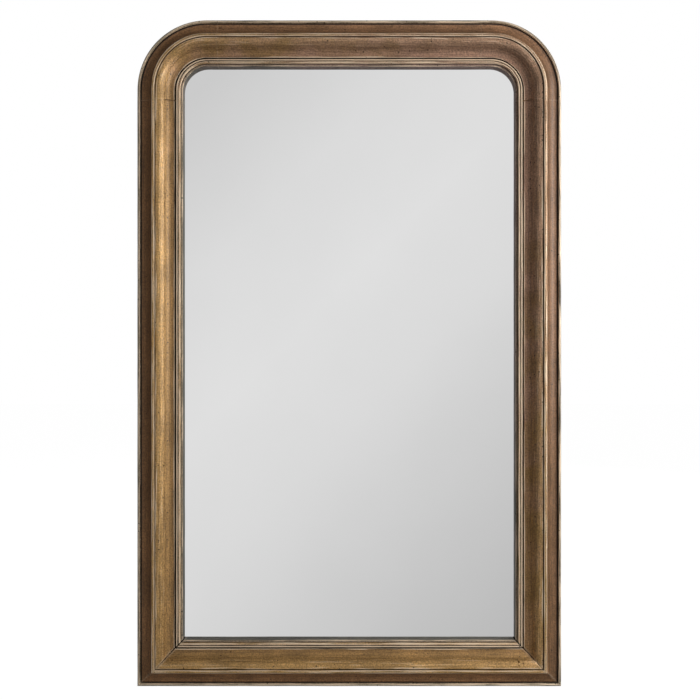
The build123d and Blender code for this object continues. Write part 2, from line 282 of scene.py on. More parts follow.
class Section:
    """The section's sharp outline, its members' places along it, and its eased outline."""

    arris_turn = math.radians(25)  # the outline turns by more than this at an arris
    eased_share = 0.4  # the most of a flat that the easing of one arris takes
    longest_flat = 0.0024  # a longer flat gets a point at its middle
    relief_reach = 0.0014  # how far from an arris its relief is felt

    def __init__(self, size):
        self.sharp = []
        self.ends = {}
        self.smooth = set()
        self.size = size
        for name, member in section_members(size):
            if isinstance(member[0], tuple):
                end, direction, steps = member
                self.smooth.update(range(len(self.sharp), len(self.sharp) + steps - 1))
                self.sharp += arc(self.sharp[-1], Vector(end), Vector(direction), steps)
            else:
                self.sharp.append(Vector(member))
            self.ends[name] = len(self.sharp) - 1
        self.run = [0.0]
        for before, after in zip(self.sharp, self.sharp[1:]):
            self.run.append(self.run[-1] + (after - before).length)
        self.known = {}

    def end(self, name):
        """Distance along the outline to the end of a member."""
        return self.run[self.ends[name]]

    def turn(self, number):
        """The angle turned at one of the sharp outline's points, plus where it juts out."""
        come = self.sharp[number] - self.sharp[number - 1]
        go = self.sharp[(number + 1) % len(self.sharp)] - self.sharp[number]
        return math.atan2(come.y * go.x - come.x * go.y, come.dot(go))

    def outline(self):
        """The closed outline with each sharp arris eased by its own radius and each long flat halved."""
        eased = []
        for number, point in enumerate(self.sharp):
            if number in self.smooth or abs(self.turn(number)) < self.arris_turn:
                eased.append(point)
                continue
            on_fillet = point.y in (self.size.fillet_height, self.size.sight_fillet_height)
            radius = self.size.fillet_arris_radius if on_fillet else self.size.arris_radius
            come = self.sharp[number - 1] - point
            go = self.sharp[(number + 1) % len(self.sharp)] - point
            first = point + come.normalized() * min(radius, self.eased_share * come.length)
            last = point + go.normalized() * min(radius, self.eased_share * go.length)
            eased += [first, (first + last + 2 * point) / 4, last]
        outline = []
        for before, after in zip(eased, eased[1:] + eased[:1]):
            outline.append(before)
            if (after - before).length > self.longest_flat:
                outline.append((before + after) / 2)
        return outline

    def place(self, inward, height):
        """(distance along the outline, relief) at a point of the section; relief is plus on an arris."""
        key = (round(inward, 5), round(height, 5))
        if key not in self.known:
            point = Vector(key)
            best = (math.inf, 0.0)
            for number, start in enumerate(self.sharp[:-1]):
                span = self.sharp[number + 1] - start
                along = min(1, max(0, (point - start).dot(span) / span.length_squared))
                gap = (point - start - span * along).length
                best = min(best, (gap, self.run[number] + along * span.length))
            self.known[key] = (best[1], self.relief(best[1]))
        return self.known[key]

    def relief(self, run):
        """How far the outline juts out (plus) or sinks in (minus) near a place along it."""
        total = 0
        for number, place in enumerate(self.run):
            total += self.turn(number) / (math.pi / 2) * math.exp(-(((run - place) / self.relief_reach) ** 2))
        return max(-1, min(1, total))


@cache
def moulding_section():
    return Section(moulding_sizes())


# Where a point lies on the frame: how far round, and how far in

BOTTOM_SHIFT = 3  # sets the pattern of the bottom rail apart from the top rail's


def bend_centre(side):
    """Centre of an upper corner's bend; side is -1 at the left and 1 at the right."""
    radius = moulding_sizes().corner_radius
    edge = FRAME_LEFT + radius if side < 0 else FRAME_RIGHT - radius
    return Vector((edge, 0, FRAME_TOP - radius))


def frame_place(point):
    """(distance round the frame, distance in from the outer edge) of a point."""
    side = -1 if point.x < 0 else 1
    centre = bend_centre(side)
    out = abs(point.x - centre.x) if (point.x - centre.x) * side > 0 else 0
    if out and point.z > centre.z:
        angle = math.atan2(out, point.z - centre.z)
        radius = moulding_sizes().corner_radius
        arm = math.hypot(out, point.z - centre.z)
        return side * (abs(centre.x) + angle * radius), radius - arm
    bend = abs(centre.x) + math.pi / 2 * moulding_sizes().corner_radius
    insets = {
        "side": FRAME_RIGHT - abs(point.x),
        "top": FRAME_TOP - point.z,
        "bottom": point.z - FRAME_BOTTOM,
    }
    nearest = min(insets, key=insets.get)
    if nearest == "side":
        return side * (bend + centre.z - point.z), insets["side"]
    if nearest == "top":
        return point.x, insets["top"]
    return point.x + BOTTOM_SHIFT, insets["bottom"]


def joint_planes():
    """The frame's joints: a point on each and the normal across it, with its opening at the sight edge."""
    size = moulding_sizes()
    planes = []
    for side, edge in ((-1, FRAME_LEFT), (1, FRAME_RIGHT)):
        foot = Vector((edge, 0, FRAME_BOTTOM))
        planes.append((foot, Vector((side, 0, 1)).normalized(), size.mitre_gap))
        planes.append((Vector((edge, 0, STILE_TOP)), UP, size.joint_gap))
        planes.append((Vector((side * -TOP_RAIL_START, 0, FRAME_TOP)), RIGHT, size.joint_gap))
    return planes


def joint_distance(point):
    """Distance to the nearest joint, more where the joint is tighter: outwards, and at the corner blocks."""
    tight = 0.003
    reach = MOULDING_WIDTH + 0.001
    outer = 1 - max(0, frame_place(point)[1]) / MOULDING_WIDTH
    mitre = abs((FRAME_RIGHT - abs(point.x)) - (point.z - FRAME_BOTTOM)) / math.sqrt(2)
    distances = [mitre + tight * outer**2]
    if point.z > FRAME_TOP - reach:
        distances.append(abs(abs(point.x) + TOP_RAIL_START) + tight)
    if abs(point.x) > FRAME_RIGHT - reach:
        distances.append(abs(point.z - STILE_TOP) + tight)
    return min(distances)


class MirrorFinish(bpy.types.PropertyGroup):
    gilt: colour("Gilt", "Bronze gilding of the ogee and the beads", (0.49, 0.285, 0.095))
    # Pale partly as rubbed gilding and partly as painted highlight on the inner fillet and the sight bead
    pale_gilt_and_highlight: colour("Pale Gilt", "Rubbed gilding of the inner fillet", (0.92, 0.70, 0.47))
    worn_gilt: colour("Worn Gilt", "Duller gilding in the hollow of the ogee", (0.33, 0.185, 0.064))
    bronze: colour("Bronze", "Toned bronze of the cove", (0.33, 0.17, 0.072))
    olive: colour("Olive", "Tarnished bronze at the outer edge", (0.62, 0.50, 0.33))
    # edge also darkens the sight wall, as painted shade that the glass reflects as a dark line
    edge: colour("Edge", "Toned outer side of the frame", (0.085, 0.08, 0.058))
    plum: colour("Plum", "Pinkish cast of the gilding at the right and the top", (0.36, 0.215, 0.19))
    patina: colour("Patina", "Dark toning in the sunk lines", (0.014, 0.006, 0.002))
    lip: colour("Lip", "Greyed flat beside the glass", (0.36, 0.28, 0.19))
    # ground also gives the tone of the painted highlight along the rubbed arrises
    ground: colour("Ground", "Pale ground where the gilding is rubbed off", (0.90, 0.72, 0.52))
    silver: colour("Silvering", "Colour of the mirror plate's reflection", (0.93, 0.93, 0.93))
    wood: colour("Back Wood", "Bare pine of the frame's back", (0.42, 0.24, 0.11))
    beech: colour("Beech", "Dowels, biscuits and blocks", (0.55, 0.35, 0.19))
    fibreboard: colour("Fibreboard", "Backing board", (0.27, 0.16, 0.085))
    card: colour("Card", "Packing sheet", (0.42, 0.36, 0.27))
    zinc: colour("Zinc", "Plated plates, straps, rings and screws", (0.56, 0.56, 0.54))
    blued: colour("Blued Steel", "Turn buttons", (0.07, 0.08, 0.10))
    rubber: colour("Rubber", "Wall bumpers", (0.11, 0.11, 0.108))
    # The pale rubbed arrises are partly rubbed-off gilding and partly painted highlight
    rubbing_and_highlight: share("Rubbing", "How pale the rubbed arrises are", 0.95)
    joint_rubbing: share("Joint Rubbing", "How pale the gilding is beside a joint", 0.2)
    grime: share("Grime", "How dark the grime in the sunk lines is", 0.85)
    spots: share("Spots", "How dark the small spots are", 0.75)
    cast: share("Cast", "How plum the gilding is at the upper right", 0.55)
    # Painted shade: the cove at the right, which faces the window light, is painted darker
    right_cove_painted_shade: share("Right Cove Painted Shade", "How much darker the cove is at the right", 0.4)
    metal: share("Metal", "How metallic the clean gilding is", 0.5)
    wax: share("Wax", "Clear coat on the clean gilding", 0.3)


def finish_colours():
    """The colours and strengths of the finishes, as they stand in the scene."""
    return bpy.context.scene.mirror_finish


# Small tools for materials


def feed(tree, socket, value):
    """Joins a socket to another node's socket, or sets its own value."""
    if isinstance(value, bpy.types.NodeSocket):
        tree.links.new(value, socket)
    elif hasattr(value, "__len__") and len(value) == 3 and socket.type == "RGBA":
        socket.default_value = (*value, 1)
    else:
        socket.default_value = value


def feed_all(tree, made, inputs):
    """Feeds a node's inputs, each with a number, a colour or another node's socket."""
    for name, value in inputs.items():
        feed(tree, made.inputs[name], value)


def node(tree, kind, inputs, **values):
    """Adds a shader node with these values and inputs, each a number, a colour or another node's socket."""
    made = tree.nodes.new("ShaderNode" + kind)
    for name, value in values.items():
        setattr(made, name, value)
    feed_all(tree, made, inputs)
    return made


def maths(tree, operation, *values):
    return node(tree, "Math", dict(enumerate(values)), operation=operation).outputs[0]


def times(tree, first, second):
    return maths(tree, "MULTIPLY", first, second)


def blend(tree, factor, first, second, kind="MIX"):
    """Mixes two colours by a factor."""
    inputs = {0: factor, 6: first, 7: second}
    return node(tree, "Mix", inputs, data_type="RGBA", blend_type=kind, clamp_factor=True).outputs[2]


def between(tree, value, low, high, low_result=0, high_result=1):
    """Maps a value from one range to another, clamped and smooth."""
    inputs = {"Value": value, "From Min": low, "From Max": high, "To Min": low_result, "To Max": high_result}
    return node(tree, "MapRange", inputs, interpolation_type="SMOOTHSTEP").outputs[0]


def noise(tree, vector, scale, detail, roughness=0.5):
    inputs = {"Vector": vector, "Scale": scale, "Detail": detail, "Roughness": roughness}
    return node(tree, "TexNoise", inputs).outputs[0]


def object_place(tree):
    return node(tree, "TexCoord", {}).outputs["Object"]


def attribute(tree, name):
    return node(tree, "Attribute", {}, attribute_name=name)


def colour_ramp(tree, value, stops):
    """A colour ramp with its stops as (place, colour)."""
    made = node(tree, "ValToRGB", {0: value})
    elements = made.color_ramp.elements
    while len(elements) < len(stops):
        elements.new(1)
    for element, (place, shade) in zip(elements, sorted(stops, key=lambda stop: stop[0]), strict=True):
        element.position = place
        element.color = (*shade, 1)
    return made.outputs[0]


def new_material(name):
    """A material with its shader and output joined; returns it, its node tree and its shader."""
    material = bpy.data.materials.new(name)
    material.use_nodes = True
    tree = material.node_tree
    tree.nodes.clear()
    shader = node(tree, "BsdfPrincipled", {})
    node(tree, "OutputMaterial", {"Surface": shader.outputs[0]})
    return material, tree, shader


def new_group(name, inputs, *outputs):
    """A shader node group with these inputs and number outputs; returns it with its two end nodes."""
    group = bpy.data.node_groups.new(name, "ShaderNodeTree")
    for socket, value in inputs.items():
        kind = "Float" if isinstance(value, float) else "Vector"
        made = group.interface.new_socket(socket, in_out="INPUT", socket_type="NodeSocket" + kind)
        made.default_value = value
    for socket in outputs:
        group.interface.new_socket(socket, in_out="OUTPUT", socket_type="NodeSocketFloat")
    return group, group.nodes.new("NodeGroupInput").outputs, group.nodes.new("NodeGroupOutput").inputs


def use_group(tree, group, **inputs):
    """Places a node group in a tree; an input's name has its spaces written as underscores."""
    made = tree.nodes.new("ShaderNodeGroup")
    made.node_tree = group
    for name, value in inputs.items():
        feed(tree, made.inputs[name.replace("_", " ")], value)
    return made.outputs


# Effects that several finishes share


@cache
def mottle():
    """Cloudy patches at two sizes."""
    inputs = {"Vector": (0, 0, 0), "Scale": 30.0, "Fine Scale": 350.0}
    tree, ask, give = new_group("mottle", inputs, "Patches", "Flecks")
    coarse = noise(tree, ask["Vector"], ask["Scale"], detail=4)
    fine = noise(tree, ask["Vector"], ask["Fine Scale"], detail=3, roughness=0.6)
    feed(tree, give["Patches"], between(tree, coarse, 0.3, 0.7))
    feed(tree, give["Flecks"], between(tree, fine, 0.3, 0.7))
    return tree


@cache
def specks():
    """Scattered small spots, each of its own size, with many places left bare."""
    inputs = {"Vector": (0, 0, 0), "Scale": 150.0, "Size": 0.2, "Bare": 0.7}
    tree, ask, give = new_group("specks", inputs, "Mask")
    cells = node(tree, "TexVoronoi", {"Vector": ask["Vector"], "Scale": ask["Scale"]})
    chance = node(tree, "SeparateColor", {0: cells.outputs["Color"]}).outputs
    reach = times(tree, ask["Size"], chance[1])
    spot = maths(tree, "LESS_THAN", cells.outputs["Distance"], reach)
    kept = maths(tree, "GREATER_THAN", chance[0], ask["Bare"])
    feed(tree, give["Mask"], times(tree, spot, kept))
    return tree


@cache
def streaks():
    """Fine lines drawn out along the first part of the vector."""
    tree, ask, give = new_group("streaks", {"Vector": (0, 0, 0), "Stretch": (8, 900, 900)}, "Lines")
    drawn = node(tree, "VectorMath", {0: ask["Vector"], 1: ask["Stretch"]}, operation="MULTIPLY").outputs[0]
    feed(tree, give["Lines"], between(tree, noise(tree, drawn, 1, detail=3, roughness=0.6), 0.3, 0.7))
    return tree


@cache
def edge_wear_and_highlight():
    """Where arrises rub pale, partly rubbed-off gilding and partly painted highlight, and where sunk lines
    keep their grime, broken up by a pattern.
    """
    tree, ask, give = new_group("edge_wear_and_highlight", {"Relief": 0.0, "Pattern": 0.5}, "Rubbed", "Grime")
    breaking = 0.9
    broken = maths(tree, "MULTIPLY_ADD", ask["Pattern"], breaking, -breaking / 2)
    high = maths(tree, "ADD", ask["Relief"], broken)
    feed(tree, give["Rubbed"], between(tree, high, 0.3, 0.85))
    low = maths(tree, "ADD", times(tree, ask["Relief"], -1), times(tree, broken, 0.5))
    feed(tree, give["Grime"], between(tree, low, 0.15, 0.8))
    return tree


def bump(tree, height, distance, strength):
    return node(tree, "Bump", {"Height": height, "Distance": distance, "Strength": strength}).outputs[0]


def gilding_tones(tree, across):
    """The tone of each member across the moulding, from the outer side to the sight edge."""
    section = moulding_section()
    tones = finish_colours()
    bands = [
        ("side", tones.edge, tones.edge),
        ("edge_bead", tones.edge, tones.olive),
        ("quirk", tones.patina, tones.patina),
        ("cove", tones.bronze, tones.bronze),
        ("fillet_inner_wall", tones.gilt, tones.gilt),
        ("ogee_quirk_wall", tones.patina, tones.patina),
        ("ogee_hollow", tones.gilt, tones.worn_gilt),
        ("groove", tones.patina, tones.patina),
        # The inner fillet and the start of the sight bead are pale partly as painted highlight
        ("sight_fillet", tones.pale_gilt_and_highlight, tones.pale_gilt_and_highlight),
        ("sight_fillet_wall", tones.patina, tones.patina),
        ("sight_bead", tones.pale_gilt_and_highlight, tones.gilt),
        ("sight_bead_wall", tones.patina, tones.patina),
        ("lip", tones.lip, tones.lip),
        # The dark sight wall is painted shade, so that the glass shows a dark line along the sight edge
        ("sight_wall", tones.edge, tones.edge),
    ]
    ease = 0.25e-3
    # Grime reaches past the ogee's edge at the deep line; the darkening that reaches back from the sight edge
    # is painted shade, standing in for the shadowed rebate's dark line in the glass
    grime_and_painted_shade = {"ogee_hollow": 0.7e-3, "lip": 0.35e-3}

    def edge_share(name, step):
        return (section.end(name) - grime_and_painted_shade.get(name, 0) + step) / section.end("sight_wall")

    stops = []
    first = "back"
    for last, start_tone, end_tone in bands:
        stops += [(edge_share(first, ease), start_tone), (edge_share(last, -ease), end_tone)]
        first = last
    return colour_ramp(tree, across, stops)


def shares_across(*names):
    """Where these members end, as shares of the way across the moulding."""
    section = moulding_section()
    return [section.end(name) / section.end("sight_wall") for name in names]


# Share of the way across the moulding where the cove gives way to the outer fillet
COVE_END = 0.38


def front_relief(tree, across):
    """The stored relief, faded out on the outer side and on the sight wall."""
    side_end, lip_end = shares_across("side", "lip")
    fade = 0.005
    front = between(tree, across, side_end, side_end + fade)
    front = times(tree, front, between(tree, across, lip_end + fade, lip_end))
    return times(tree, attribute(tree, "relief").outputs["Fac"], front)


def plum_cast(tree, spread, across, patches):
    """How plum the gilding is: more to the right, to the top, in patches, and from the ogee inwards."""
    slope = (1.6, 0, 1.1)
    none, full = -0.25, 0.75
    cove_share = 0.25
    place = node(tree, "VectorMath", {0: spread, 1: slope}, operation="DOT_PRODUCT").outputs["Value"]
    place = maths(tree, "MULTIPLY_ADD", patches, 0.5, place)
    cast = between(tree, place, none, full, 0, finish_colours().cast)
    return times(tree, cast, between(tree, across, COVE_END, 0.5, cove_share, 1))


def gilding_shade(tree, spread, across, cloud, lines):
    """How light flecks, lines and patches make the gilding, with painted shade darkening the cove at the
    right.
    """
    right_start, right_end = 0.28, 0.34
    shade = 1.0
    for pattern, reach in ((cloud["Flecks"], 0.7), (lines, 0.5), (cloud["Patches"], 0.3)):
        shade = times(tree, shade, maths(tree, "MULTIPLY_ADD", pattern, reach, 1 - reach / 2))
    # Painted shade: the cove on the right, lit by the window, is painted darker
    at_right = between(tree, node(tree, "SeparateXYZ", {0: spread}).outputs[0], right_start, right_end)
    in_cove = between(tree, across, COVE_END + 0.02, COVE_END - 0.02)
    painted_cove_shade = times(tree, times(tree, at_right, in_cove), finish_colours().right_cove_painted_shade)
    return times(tree, shade, maths(tree, "SUBTRACT", 1, painted_cove_shade))


def joint_wear(tree, flecks):
    """Where the gilding beside a joint is rubbed pale, and where the joint stands open."""
    raggedness = 0.0012
    rubbed_reach = 0.004
    open_reach = 0.0006
    distance = maths(tree, "MULTIPLY_ADD", flecks, -raggedness, attribute(tree, "joint").outputs["Fac"])
    rubbed = between(tree, distance, rubbed_reach, 0.0012, 0, finish_colours().joint_rubbing)
    return rubbed, between(tree, distance, open_reach, 0.0001)


def gilding_roughness(tree, across, flecks, dull):
    """Rougher in the hollow of the ogee, in the cove and where the gilding is dull."""
    hollow = between(tree, across, *shares_across("ogee_crown", "ogee_hollow"), 0, 0.3)
    cove = between(tree, across, COVE_END, COVE_END - 0.04, 0, 0.16)
    roughness = maths(tree, "MULTIPLY_ADD", flecks, 0.14, 0.34)
    roughness = maths(tree, "ADD", roughness, maths(tree, "MAXIMUM", hollow, cove))
    return maths(tree, "MULTIPLY_ADD", dull, 0.3, roughness)


@cache
def gilding():
    """Toned and rubbed bronze gilding on a gesso ground, with painted highlight on the arrises and the inner
    fillet, and painted shade in the cove at the right and at the sight edge.
    """
    material, tree, shader = new_material("bronze_gilding")
    tones = finish_colours()
    place = attribute(tree, "place").outputs["Vector"]
    across = node(tree, "SeparateXYZ", {0: place}).outputs[2]
    spread = object_place(tree)
    cloud = use_group(tree, mottle(), Vector=spread, Scale=22.0, Fine_Scale=420.0)
    lines = use_group(tree, streaks(), Vector=place, Stretch=(14.0, 420.0, 0.0))["Lines"]
    wear_and_highlight = use_group(tree, edge_wear_and_highlight(), Relief=front_relief(tree, across), Pattern=lines)
    spots = use_group(tree, specks(), Vector=spread, Scale=170.0, Size=0.25, Bare=0.8)["Mask"]
    rubbed_joint, open_joint = joint_wear(tree, cloud["Flecks"])
    base = gilding_tones(tree, across)
    base = blend(tree, plum_cast(tree, spread, across, cloud["Patches"]), base, tones.plum)
    shade = gilding_shade(tree, spread, across, cloud, lines)
    grey = node(tree, "CombineColor", {0: shade, 1: shade, 2: shade}).outputs[0]
    base = blend(tree, 1.0, base, grey, "MULTIPLY")
    # Rubbed arrises take the ground tone: partly rubbed-off gilding, partly painted highlight
    for mask, tone in (
        (times(tree, wear_and_highlight["Rubbed"], tones.rubbing_and_highlight), tones.ground),
        (times(tree, wear_and_highlight["Grime"], tones.grime), tones.patina),
        (rubbed_joint, tones.ground),
        (open_joint, tones.patina),
        (times(tree, spots, tones.spots), tones.patina),
    ):
        base = blend(tree, mask, base, tone)
    dull = maths(tree, "MAXIMUM", wear_and_highlight["Grime"], open_joint)
    height = maths(tree, "ADD", cloud["Flecks"], times(tree, lines, 0.5))
    inputs = {
        "Base Color": base,
        "Roughness": gilding_roughness(tree, across, cloud["Flecks"], dull),
        "Metallic": maths(tree, "MULTIPLY_ADD", dull, -0.4, tones.metal),
        "Specular IOR Level": 0.5,
        "Coat Weight": maths(tree, "MULTIPLY_ADD", dull, -tones.wax, tones.wax),
        "Coat Roughness": 0.35,
        "Normal": bump(tree, height, 0.0003, 0.8),
    }
    feed_all(tree, shader, inputs)
    return material


@cache
def bare_wood():
    """Bare aged pine, its grain along the length."""
    material, tree, shader = new_material("bare_pine")
    tones = finish_colours()
    place = attribute(tree, "place").outputs["Vector"]
    grain = use_group(tree, streaks(), Vector=place, Stretch=(3.0, 180.0, 0.0))["Lines"]
    fibre = use_group(tree, streaks(), Vector=place, Stretch=(18.0, 1500.0, 0.0))["Lines"]
    cloud = use_group(tree, mottle(), Vector=object_place(tree), Scale=9.0, Fine_Scale=120.0)
    dark = [part * 0.55 for part in tones.wood]
    stain = (0.24, 0.15, 0.08)
    base = blend(tree, times(tree, grain, 0.7), tones.wood, dark)
    base = blend(tree, times(tree, fibre, 0.35), base, dark)
    base = blend(tree, times(tree, cloud["Patches"], 0.35), base, stain)
    roughness = maths(tree, "MULTIPLY_ADD", fibre, 0.15, 0.62)
    normal = bump(tree, maths(tree, "ADD", fibre, grain), 0.00015, 0.5)
    feed_all(tree, shader, {"Base Color": base, "Roughness": roughness, "Normal": normal})
    return material


@cache
def mirror_glass():
    """Silvered glass with the faintest cloudiness."""
    material, tree, shader = new_material("silvered_glass")
    silver = finish_colours().silver
    cloud = use_group(tree, mottle(), Vector=object_place(tree), Scale=6.0, Fine_Scale=60.0)
    base = blend(tree, cloud["Patches"], silver, [part * 0.985 for part in silver])
    roughness = maths(tree, "MULTIPLY_ADD", cloud["Flecks"], 0.006, 0.012)
    feed_all(tree, shader, {"Base Color": base, "Roughness": roughness, "Metallic": 1})
    return material


def plain_finish(name, tone, dark, roughness, metallic, scales, bump_height):
    """A mottled finish of one colour for a small part."""
    material, tree, shader = new_material(name)
    spread = object_place(tree)
    cloud = use_group(tree, mottle(), Vector=spread, Scale=scales[0], Fine_Scale=scales[1])
    base = blend(tree, times(tree, cloud["Patches"], 0.6), tone, dark)
    base = blend(tree, times(tree, cloud["Flecks"], 0.35), base, dark)
    inputs = {
        "Base Color": base,
        "Metallic": metallic,
        "Roughness": maths(tree, "MULTIPLY_ADD", cloud["Flecks"], 0.18, roughness),
        "Normal": bump(tree, cloud["Flecks"], bump_height, 0.5),
    }
    feed_all(tree, shader, inputs)
    return material


@cache
def zinc_steel():
    tone = finish_colours().zinc
    return plain_finish("zinc_plated_steel", tone, (0.36, 0.35, 0.31), 0.3, 1, (45.0, 500.0), 0.00008)


@cache
def blued_steel():
    tone = finish_colours().blued
    return plain_finish("blued_spring_steel", tone, (0.05, 0.045, 0.04), 0.32, 0.9, (60.0, 500.0), 0.00006)


@cache
def rubber():
    tone = finish_colours().rubber
    return plain_finish("grey_rubber", tone, (0.16, 0.155, 0.145), 0.7, 0, (90.0, 900.0), 0.00008)


@cache
def card():
    tone = finish_colours().card
    return plain_finish("packing_card", tone, (0.34, 0.28, 0.2), 0.85, 0, (30.0, 700.0), 0.0001)


@cache
def fibreboard():
    tone = finish_colours().fibreboard
    return plain_finish("brown_fibreboard", tone, (0.17, 0.098, 0.05), 0.7, 0, (45.0, 900.0), 0.0002)


@cache
def beech():
    return plain_finish("beech", finish_colours().beech, (0.42, 0.25, 0.12), 0.6, 0, (20.0, 400.0), 0.0001)


# Modelling the moulding

SMOOTH_ANGLE = math.radians(40)
ON_PLANE = 1e-6  # a point this near a joint's plane lies on it


def add_outline(name, start, inward):
    """Opens a new piece that holds the bare outline of the section, set out at start and selected."""
    deselect()
    outline = moulding_section().outline()
    bpy.ops.mesh.primitive_circle_add(vertices=len(outline), radius=MOULDING_WIDTH, fill_type="NOTHING")
    piece = bpy.context.object
    piece.name = name
    piece.data.name = name
    mesh = edit(piece)
    for vert, point in zip(mesh.verts, outline, strict=True):
        vert.co = start + inward * point.x + FORWARD * point.y
    bmesh.update_edit_mesh(piece.data)
    bpy.ops.mesh.select_all(action="SELECT")
    return piece


def run_on(along, reach):
    """Runs the selected outline on by this much, in rows of faces."""
    steps = max(2, round(reach / moulding_sizes().run_step))
    bpy.ops.mesh.extrude_repeat(steps=steps, offset=along * (reach / steps))


def close_ends(piece):
    """Caps the open ends and turns every face outwards."""
    bpy.ops.mesh.select_all(action="SELECT")
    bpy.ops.mesh.fill_holes(sides=0)
    bpy.ops.mesh.select_all(action="SELECT")
    bpy.ops.mesh.normals_make_consistent(inside=False)
    close_edit(piece)


def straight_length(name, start, inward, along, reach):
    """A straight length of the moulding."""
    piece = add_outline(name, start, inward)
    run_on(along, reach)
    close_ends(piece)
    return piece


def corner_length(name, side):
    """A round upper corner of the moulding with its two short straight stubs."""
    radius = moulding_sizes().corner_radius
    edge = FRAME_LEFT if side < 0 else FRAME_RIGHT
    centre = bend_centre(side)
    piece = add_outline(name, Vector((edge, FRAME_BACK, STILE_TOP)), RIGHT * -side)
    run_on(UP, centre.z - STILE_TOP)
    closeness = 1.6
    steps = round(radius * math.pi / 2 / moulding_sizes().run_step * closeness)
    bpy.ops.mesh.spin(steps=steps, angle=side * math.pi / 2, center=centre, axis=(0, 1, 0))
    run_on(RIGHT * -side, abs(centre.x) + TOP_RAIL_START)
    close_ends(piece)
    return piece


def cut_mitre(piece, corner, outwards):
    """Cuts a length off at the mitre through a corner; outwards points out of the kept wood."""
    edit(piece)
    bpy.ops.mesh.select_all(action="SELECT")
    bpy.ops.mesh.bisect(plane_co=corner, plane_no=outwards, use_fill=True, clear_outer=True)
    close_edit(piece)


def open_joints(piece, along):
    """Eases a piece's edges back along its run from the joints that it meets, more towards the sight edge."""
    rim = 0.0006
    outer_share = 0.05
    for point, normal, gap in joint_planes():

        def on_plane(vector):
            return abs((vector - point).dot(normal)) < ON_PLANE

        edit(piece)
        select_faces(piece, lambda face: all(on_plane(vert.co) for vert in face.verts))
        mesh = bmesh.from_edit_mesh(piece.data)
        if not any(face.select for face in mesh.faces):
            close_edit(piece)
            continue
        bpy.ops.mesh.inset(thickness=rim, use_even_offset=False)
        mesh = bmesh.from_edit_mesh(piece.data)
        middle = sum((vert.co for vert in mesh.verts), Vector()) / len(mesh.verts)
        back = along or normal
        back = back if (middle - point).dot(back) > 0 else -back
        for vert in mesh.verts:
            sides = [face for face in vert.link_faces if abs(face.normal.dot(normal)) < 0.9]
            if sides and on_plane(vert.co):
                inward = max(0, frame_place(vert.co)[1] / MOULDING_WIDTH)
                vert.co += back * gap / 2 * (outer_share + (1 - outer_share) * inward**2)
        close_edit(piece)


# Worm holes that the photograph shows: x and z in metres, and the share of the full radius
WORM_HOLES = {
    "left_stile": [(-0.3053, -0.5046, 1.0), (-0.3136, 0.0713, 0.8)],
    "left_corner_block": [(-0.2325, 0.162, 0.8)],
    "right_corner_block": [(0.2441, 0.1938, 0.7)],
    "top_rail": [(-0.2135, 0.217, 0.9), (-0.2085, 0.2145, 0.7), (0.1614, 0.1985, 0.9)],
    "bottom_rail": [
        (-0.1961, -0.8141, 1.0),
        (-0.0157, -0.8373, 0.8),
        (0.2784, -0.8273, 1.2),
        (0.2784, -0.8323, 0.9),
        (0.2855, -0.8290, 1.0),
    ],
}


def bore_worm_holes(piece, places):
    """Drills small round holes into the front of a length, as woodworm leaves them."""
    radius = moulding_sizes().worm_hole_radius
    sides = 10
    depth = 0.008
    slant = (math.pi / 2 + 0.2, 0, 0.15)
    cutters = []
    for x, z, share_of_radius in places:
        found, spot, _, _ = piece.ray_cast(Vector((x, -1, z)), Vector((0, 1, 0)))
        if not found:
            raise RuntimeError(f"no wood on {piece.name} under the worm hole at {x}, {z}")
        deselect()
        bpy.ops.mesh.primitive_cylinder_add(
            vertices=sides, radius=radius * share_of_radius, depth=depth, location=spot, rotation=slant
        )
        cutters.append(bpy.context.object)
    for cutter in cutters:
        cutter.select_set(True)
    bpy.context.view_layer.objects.active = cutters[0]
    if len(cutters) > 1:
        bpy.ops.object.join()
    cutter = bpy.context.object
    apply_modifier(piece, "BOOLEAN", operation="DIFFERENCE", solver="EXACT", object=cutter)
    bpy.data.objects.remove(cutter)


def mark_surface(piece):
    """Stores each point's place round and across the moulding, its relief and its distance to a joint."""
    section = moulding_section()
    mesh = piece.data
    kinds = {"place": "FLOAT_VECTOR", "relief": "FLOAT", "joint": "FLOAT"}
    for name, kind in kinds.items():
        mesh.attributes.new(name, kind, "POINT")
    place, relief, joint = (mesh.attributes[name] for name in kinds)
    for number, vert in enumerate(mesh.vertices):
        round_frame, inward = frame_place(vert.co)
        across, jut = section.place(inward, FRAME_BACK - vert.co.y)
        place.data[number].vector = (round_frame, across, across / section.end("sight_wall"))
        relief.data[number].value = jut
        joint.data[number].value = joint_distance(vert.co)


def paint_faces(piece):
    """Gilds the faces that show from the front and leaves the back and the joints in bare wood."""
    section = moulding_section()
    planes = joint_planes()
    near = 1e-4
    parallel = 0.99
    backward = 0.7
    for face in piece.data.polygons:
        inward = frame_place(face.center)[1]
        across = section.place(inward, FRAME_BACK - face.center.y)[0]
        at_joint = any(
            abs(face.normal.dot(normal)) > parallel and abs((face.center - point).dot(normal)) < near
            for point, normal, _ in planes
        )
        bare = face.normal.y > backward or at_joint or not 0 < across < section.end("sight_wall")
        face.material_index = 1 if bare else 0


def uneven_ground(piece):
    """Makes the front slightly wavy, as hand-laid gesso is."""
    size = moulding_sizes()
    group = piece.vertex_groups.new(name="front")
    start = REBATE_DEPTH + 0.002
    full = 0.006  # above the start, where the waves reach their full height
    for vert in piece.data.vertices:
        height = FRAME_BACK - vert.co.y
        group.add([vert.index], min(1, max(0, (height - start) / full)), "REPLACE")
    waves = bpy.data.textures.get("ground_waves") or bpy.data.textures.new("ground_waves", "CLOUDS")
    waves.noise_scale = size.wave_length
    waves.noise_depth = 2
    apply_modifier(
        piece,
        "DISPLACE",
        texture=waves,
        texture_coords="LOCAL",
        strength=size.wave_height,
        mid_level=0.5,
        vertex_group="front",
    )
    piece.vertex_groups.clear()


